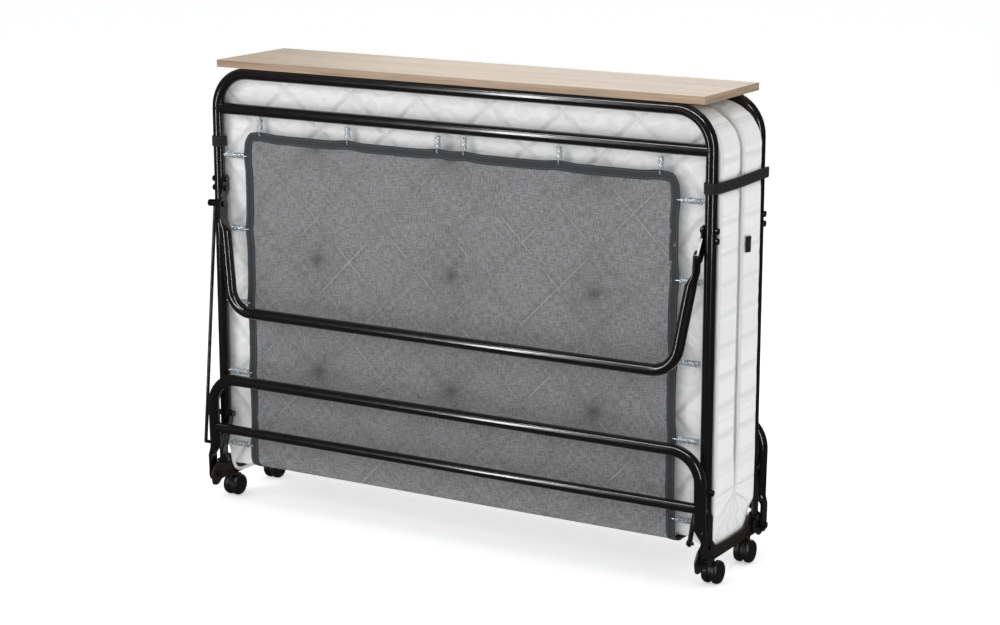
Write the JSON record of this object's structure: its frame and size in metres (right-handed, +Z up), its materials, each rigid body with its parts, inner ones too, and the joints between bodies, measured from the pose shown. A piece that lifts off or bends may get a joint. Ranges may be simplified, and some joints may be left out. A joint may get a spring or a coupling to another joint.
{
  "type": "rollaway bed",
  "caption": "Folding guest bed on castors, folded upright: black tube frames, woven sling, white mattress folded in two, and a wooden tabletop over it.",
  "frame": {"origin": "floor, midway between the folded frames", "axes": "+X along the bed's width, -Y towards the front frame's outer side, +Z up"},
  "size_m": [1.251, 0.3262, 0.999],
  "materials": {
    "board": "light oak laminate",
    "frame_black": "gloss black powder coat",
    "plate": "satin black powder coat",
    "ticking": "quilted white knit",
    "mesh": "woven grey sling",
    "binding": "slate woven tape",
    "zinc": "bright zinc",
    "webbing": "black webbing",
    "castor_body": "moulded black",
    "castor_tread": "moulded black"
  },
  "bodies": {
    "stand": {"castor_plate_right": "plate", "castor_plate_left": "plate", "plate_bolts": "frame_black", "mattress_fold": "ticking", "sling_fold": "mesh"},
    "front_frame": {"front_frame_tube": "frame_black", "front_crossbar": "frame_black", "front_sling": "mesh", "front_sling_binding": "binding", "front_springs": "zinc", "front_leg_brackets": "frame_black", "front_frame_bolts": "frame_black", "front_mattress": "ticking", "tabletop": "board", "tabletop_clips": "frame_black", "tabletop_screws": "zinc"},
    "front_centre_leg": {"front_centre_leg": "frame_black", "front_centre_leg_bar": "frame_black", "front_link_studs": "frame_black"},
    "front_end_leg": {"front_end_leg": "frame_black", "front_end_leg_pivots": "frame_black"},
    "front_right_link_bar": {"front_right_link_bar": "frame_black"},
    "front_left_link_bar": {"front_left_link_bar": "frame_black"},
    "front_left_link_rod": {"front_left_link_rod": "frame_black"},
    "rear_frame": {"rear_frame_tube": "frame_black", "rear_crossbar": "frame_black", "rear_sling": "mesh", "rear_sling_binding": "binding", "rear_springs": "zinc", "rear_leg_brackets": "frame_black", "rear_frame_bolts": "frame_black", "rear_mattress": "ticking"},
    "rear_centre_leg": {"rear_centre_leg": "frame_black", "rear_centre_leg_bar": "frame_black", "rear_link_studs": "frame_black"},
    "rear_end_leg": {"rear_end_leg": "frame_black", "rear_end_leg_pivots": "frame_black"},
    "rear_right_link_bar": {"rear_right_link_bar": "frame_black"},
    "rear_left_link_bar": {"rear_left_link_bar": "frame_black"},
    "rear_left_link_rod": {"rear_left_link_rod": "frame_black"},
    "strap_right": {"strap_right": "webbing"},
    "strap_left": {"strap_left": "webbing"},
    "front_right_castor": {"front_right_castor_housing": "castor_body", "front_right_castor_axle": "zinc"},
    "front_right_castor_wheel_outer": {"front_right_castor_wheel_outer": "castor_tread"},
    "front_right_castor_wheel_inner": {"front_right_castor_wheel_inner": "castor_tread"},
    "front_left_castor": {"front_left_castor_housing": "castor_body", "front_left_castor_axle": "zinc"},
    "front_left_castor_wheel_outer": {"front_left_castor_wheel_outer": "castor_tread"},
    "front_left_castor_wheel_inner": {"front_left_castor_wheel_inner": "castor_tread"},
    "rear_right_castor": {"rear_right_castor_housing": "castor_body", "rear_right_castor_axle": "zinc"},
    "rear_right_castor_wheel_outer": {"rear_right_castor_wheel_outer": "castor_tread"},
    "rear_right_castor_wheel_inner": {"rear_right_castor_wheel_inner": "castor_tread"},
    "rear_left_castor": {"rear_left_castor_housing": "castor_body", "rear_left_castor_axle": "zinc"},
    "rear_left_castor_wheel_outer": {"rear_left_castor_wheel_outer": "castor_tread"},
    "rear_left_castor_wheel_inner": {"rear_left_castor_wheel_inner": "castor_tread"}
  },
  "joints": [
    {"name": "front_fold", "type": "hinge", "parent": "stand", "child": "front_frame", "pos_m": [0, -0.11, 0.088], "axis": [1, 0, 0], "range_deg": [0, 90]},
    {"name": "front_centre_leg_swing", "type": "hinge", "parent": "stand", "child": "front_centre_leg", "pos_m": [0, -0.142, 0.064], "axis": [1, 0, 0], "range_deg": [0, 180]},
    {"name": "front_end_leg_swing", "type": "hinge", "parent": "front_frame", "child": "front_end_leg", "pos_m": [0, -0.128, 0.682], "axis": [1, 0, 0], "range_deg": [-90, 0]},
    {"name": "front_right_link_turn", "type": "hinge", "parent": "front_frame", "child": "front_right_link_bar", "pos_m": [0, -0.11, 0.2], "axis": [1, 0, 0], "range_deg": [-14.5, 0]},
    {"name": "front_left_link_turn", "type": "hinge", "parent": "front_frame", "child": "front_left_link_bar", "pos_m": [0, -0.11, 0.2], "axis": [1, 0, 0], "range_deg": [-14.5, 0]},
    {"name": "front_left_rod_turn", "type": "hinge", "parent": "front_end_leg", "child": "front_left_link_rod", "pos_m": [0, -0.0925, 0.676], "axis": [1, 0, 0], "range_deg": [0, 88.2]},
    {"name": "rear_fold", "type": "hinge", "parent": "stand", "child": "rear_frame", "pos_m": [0, 0.11, 0.088], "axis": [-1, 0, 0], "range_deg": [0, 90]},
    {"name": "rear_centre_leg_swing", "type": "hinge", "parent": "stand", "child": "rear_centre_leg", "pos_m": [0, 0.142, 0.064], "axis": [-1, 0, 0], "range_deg": [0, 180]},
    {"name": "rear_end_leg_swing", "type": "hinge", "parent": "rear_frame", "child": "rear_end_leg", "pos_m": [0, 0.128, 0.682], "axis": [-1, 0, 0], "range_deg": [-90, 0]},
    {"name": "rear_right_link_turn", "type": "hinge", "parent": "rear_frame", "child": "rear_right_link_bar", "pos_m": [0, 0.11, 0.2], "axis": [-1, 0, 0], "range_deg": [-14.5, 0]},
    {"name": "rear_left_link_turn", "type": "hinge", "parent": "rear_frame", "child": "rear_left_link_bar", "pos_m": [0, 0.11, 0.2], "axis": [-1, 0, 0], "range_deg": [-14.5, 0]},
    {"name": "rear_left_rod_turn", "type": "hinge", "parent": "rear_end_leg", "child": "rear_left_link_rod", "pos_m": [0, 0.0925, 0.676], "axis": [-1, 0, 0], "range_deg": [0, 88.2]},
    {"name": "strap_right_swing", "type": "hinge", "parent": "front_frame", "child": "strap_right", "pos_m": [0.5975, -0.11, 0.8185], "axis": [0, 0, -1], "range_deg": [0, 100]},
    {"name": "strap_left_swing", "type": "hinge", "parent": "front_frame", "child": "strap_left", "pos_m": [-0.5975, -0.11, 0.8185], "axis": [0, 0, 1], "range_deg": [0, 100]},
    {"name": "front_right_castor_swivel", "type": "hinge", "parent": "stand", "child": "front_right_castor", "pos_m": [0.602, -0.086, 0.049], "axis": [0, 0, 1], "continuous": true},
    {"name": "front_right_castor_wheel_outer_roll", "type": "hinge", "parent": "front_right_castor", "child": "front_right_castor_wheel_outer", "pos_m": [0.602, -0.077, 0.0245], "axis": [1, 0, 0], "continuous": true},
    {"name": "front_right_castor_wheel_inner_roll", "type": "hinge", "parent": "front_right_castor", "child": "front_right_castor_wheel_inner", "pos_m": [0.602, -0.077, 0.0245], "axis": [1, 0, 0], "continuous": true},
    {"name": "front_left_castor_swivel", "type": "hinge", "parent": "stand", "child": "front_left_castor", "pos_m": [-0.602, -0.086, 0.049], "axis": [0, 0, 1], "continuous": true},
    {"name": "front_left_castor_wheel_outer_roll", "type": "hinge", "parent": "front_left_castor", "child": "front_left_castor_wheel_outer", "pos_m": [-0.602, -0.077, 0.0245], "axis": [1, 0, 0], "continuous": true},
    {"name": "front_left_castor_wheel_inner_roll", "type": "hinge", "parent": "front_left_castor", "child": "front_left_castor_wheel_inner", "pos_m": [-0.602, -0.077, 0.0245], "axis": [1, 0, 0], "continuous": true},
    {"name": "rear_right_castor_swivel", "type": "hinge", "parent": "stand", "child": "rear_right_castor", "pos_m": [0.602, 0.086, 0.049], "axis": [0, 0, 1], "continuous": true},
    {"name": "rear_right_castor_wheel_outer_roll", "type": "hinge", "parent": "rear_right_castor", "child": "rear_right_castor_wheel_outer", "pos_m": [0.602, 0.077, 0.0245], "axis": [1, 0, 0], "continuous": true},
    {"name": "rear_right_castor_wheel_inner_roll", "type": "hinge", "parent": "rear_right_castor", "child": "rear_right_castor_wheel_inner", "pos_m": [0.602, 0.077, 0.0245], "axis": [1, 0, 0], "continuous": true},
    {"name": "rear_left_castor_swivel", "type": "hinge", "parent": "stand", "child": "rear_left_castor", "pos_m": [-0.602, 0.086, 0.049], "axis": [0, 0, 1], "continuous": true},
    {"name": "rear_left_castor_wheel_outer_roll", "type": "hinge", "parent": "rear_left_castor", "child": "rear_left_castor_wheel_outer", "pos_m": [-0.602, 0.077, 0.0245], "axis": [1, 0, 0], "continuous": true},
    {"name": "rear_left_castor_wheel_inner_roll", "type": "hinge", "parent": "rear_left_castor", "child": "rear_left_castor_wheel_inner", "pos_m": [-0.602, 0.077, 0.0245], "axis": [1, 0, 0], "continuous": true}
  ],
  "couplings": [
    {"joint": "front_centre_leg_swing", "follows": "front_fold", "ratio": 2},
    {"joint": "front_end_leg_swing", "follows": "front_fold", "ratio": -1},
    {"joint": "front_right_link_turn", "follows": "front_fold", "ratio": -0.1605},
    {"joint": "front_left_link_turn", "follows": "front_fold", "ratio": -0.1605},
    {"joint": "front_left_rod_turn", "follows": "front_fold", "ratio": 0.9787},
    {"joint": "rear_centre_leg_swing", "follows": "rear_fold", "ratio": 2},
    {"joint": "rear_end_leg_swing", "follows": "rear_fold", "ratio": -1},
    {"joint": "rear_right_link_turn", "follows": "rear_fold", "ratio": -0.1605},
    {"joint": "rear_left_link_turn", "follows": "rear_fold", "ratio": -0.1605},
    {"joint": "rear_left_rod_turn", "follows": "rear_fold", "ratio": 0.9787}
  ]
}
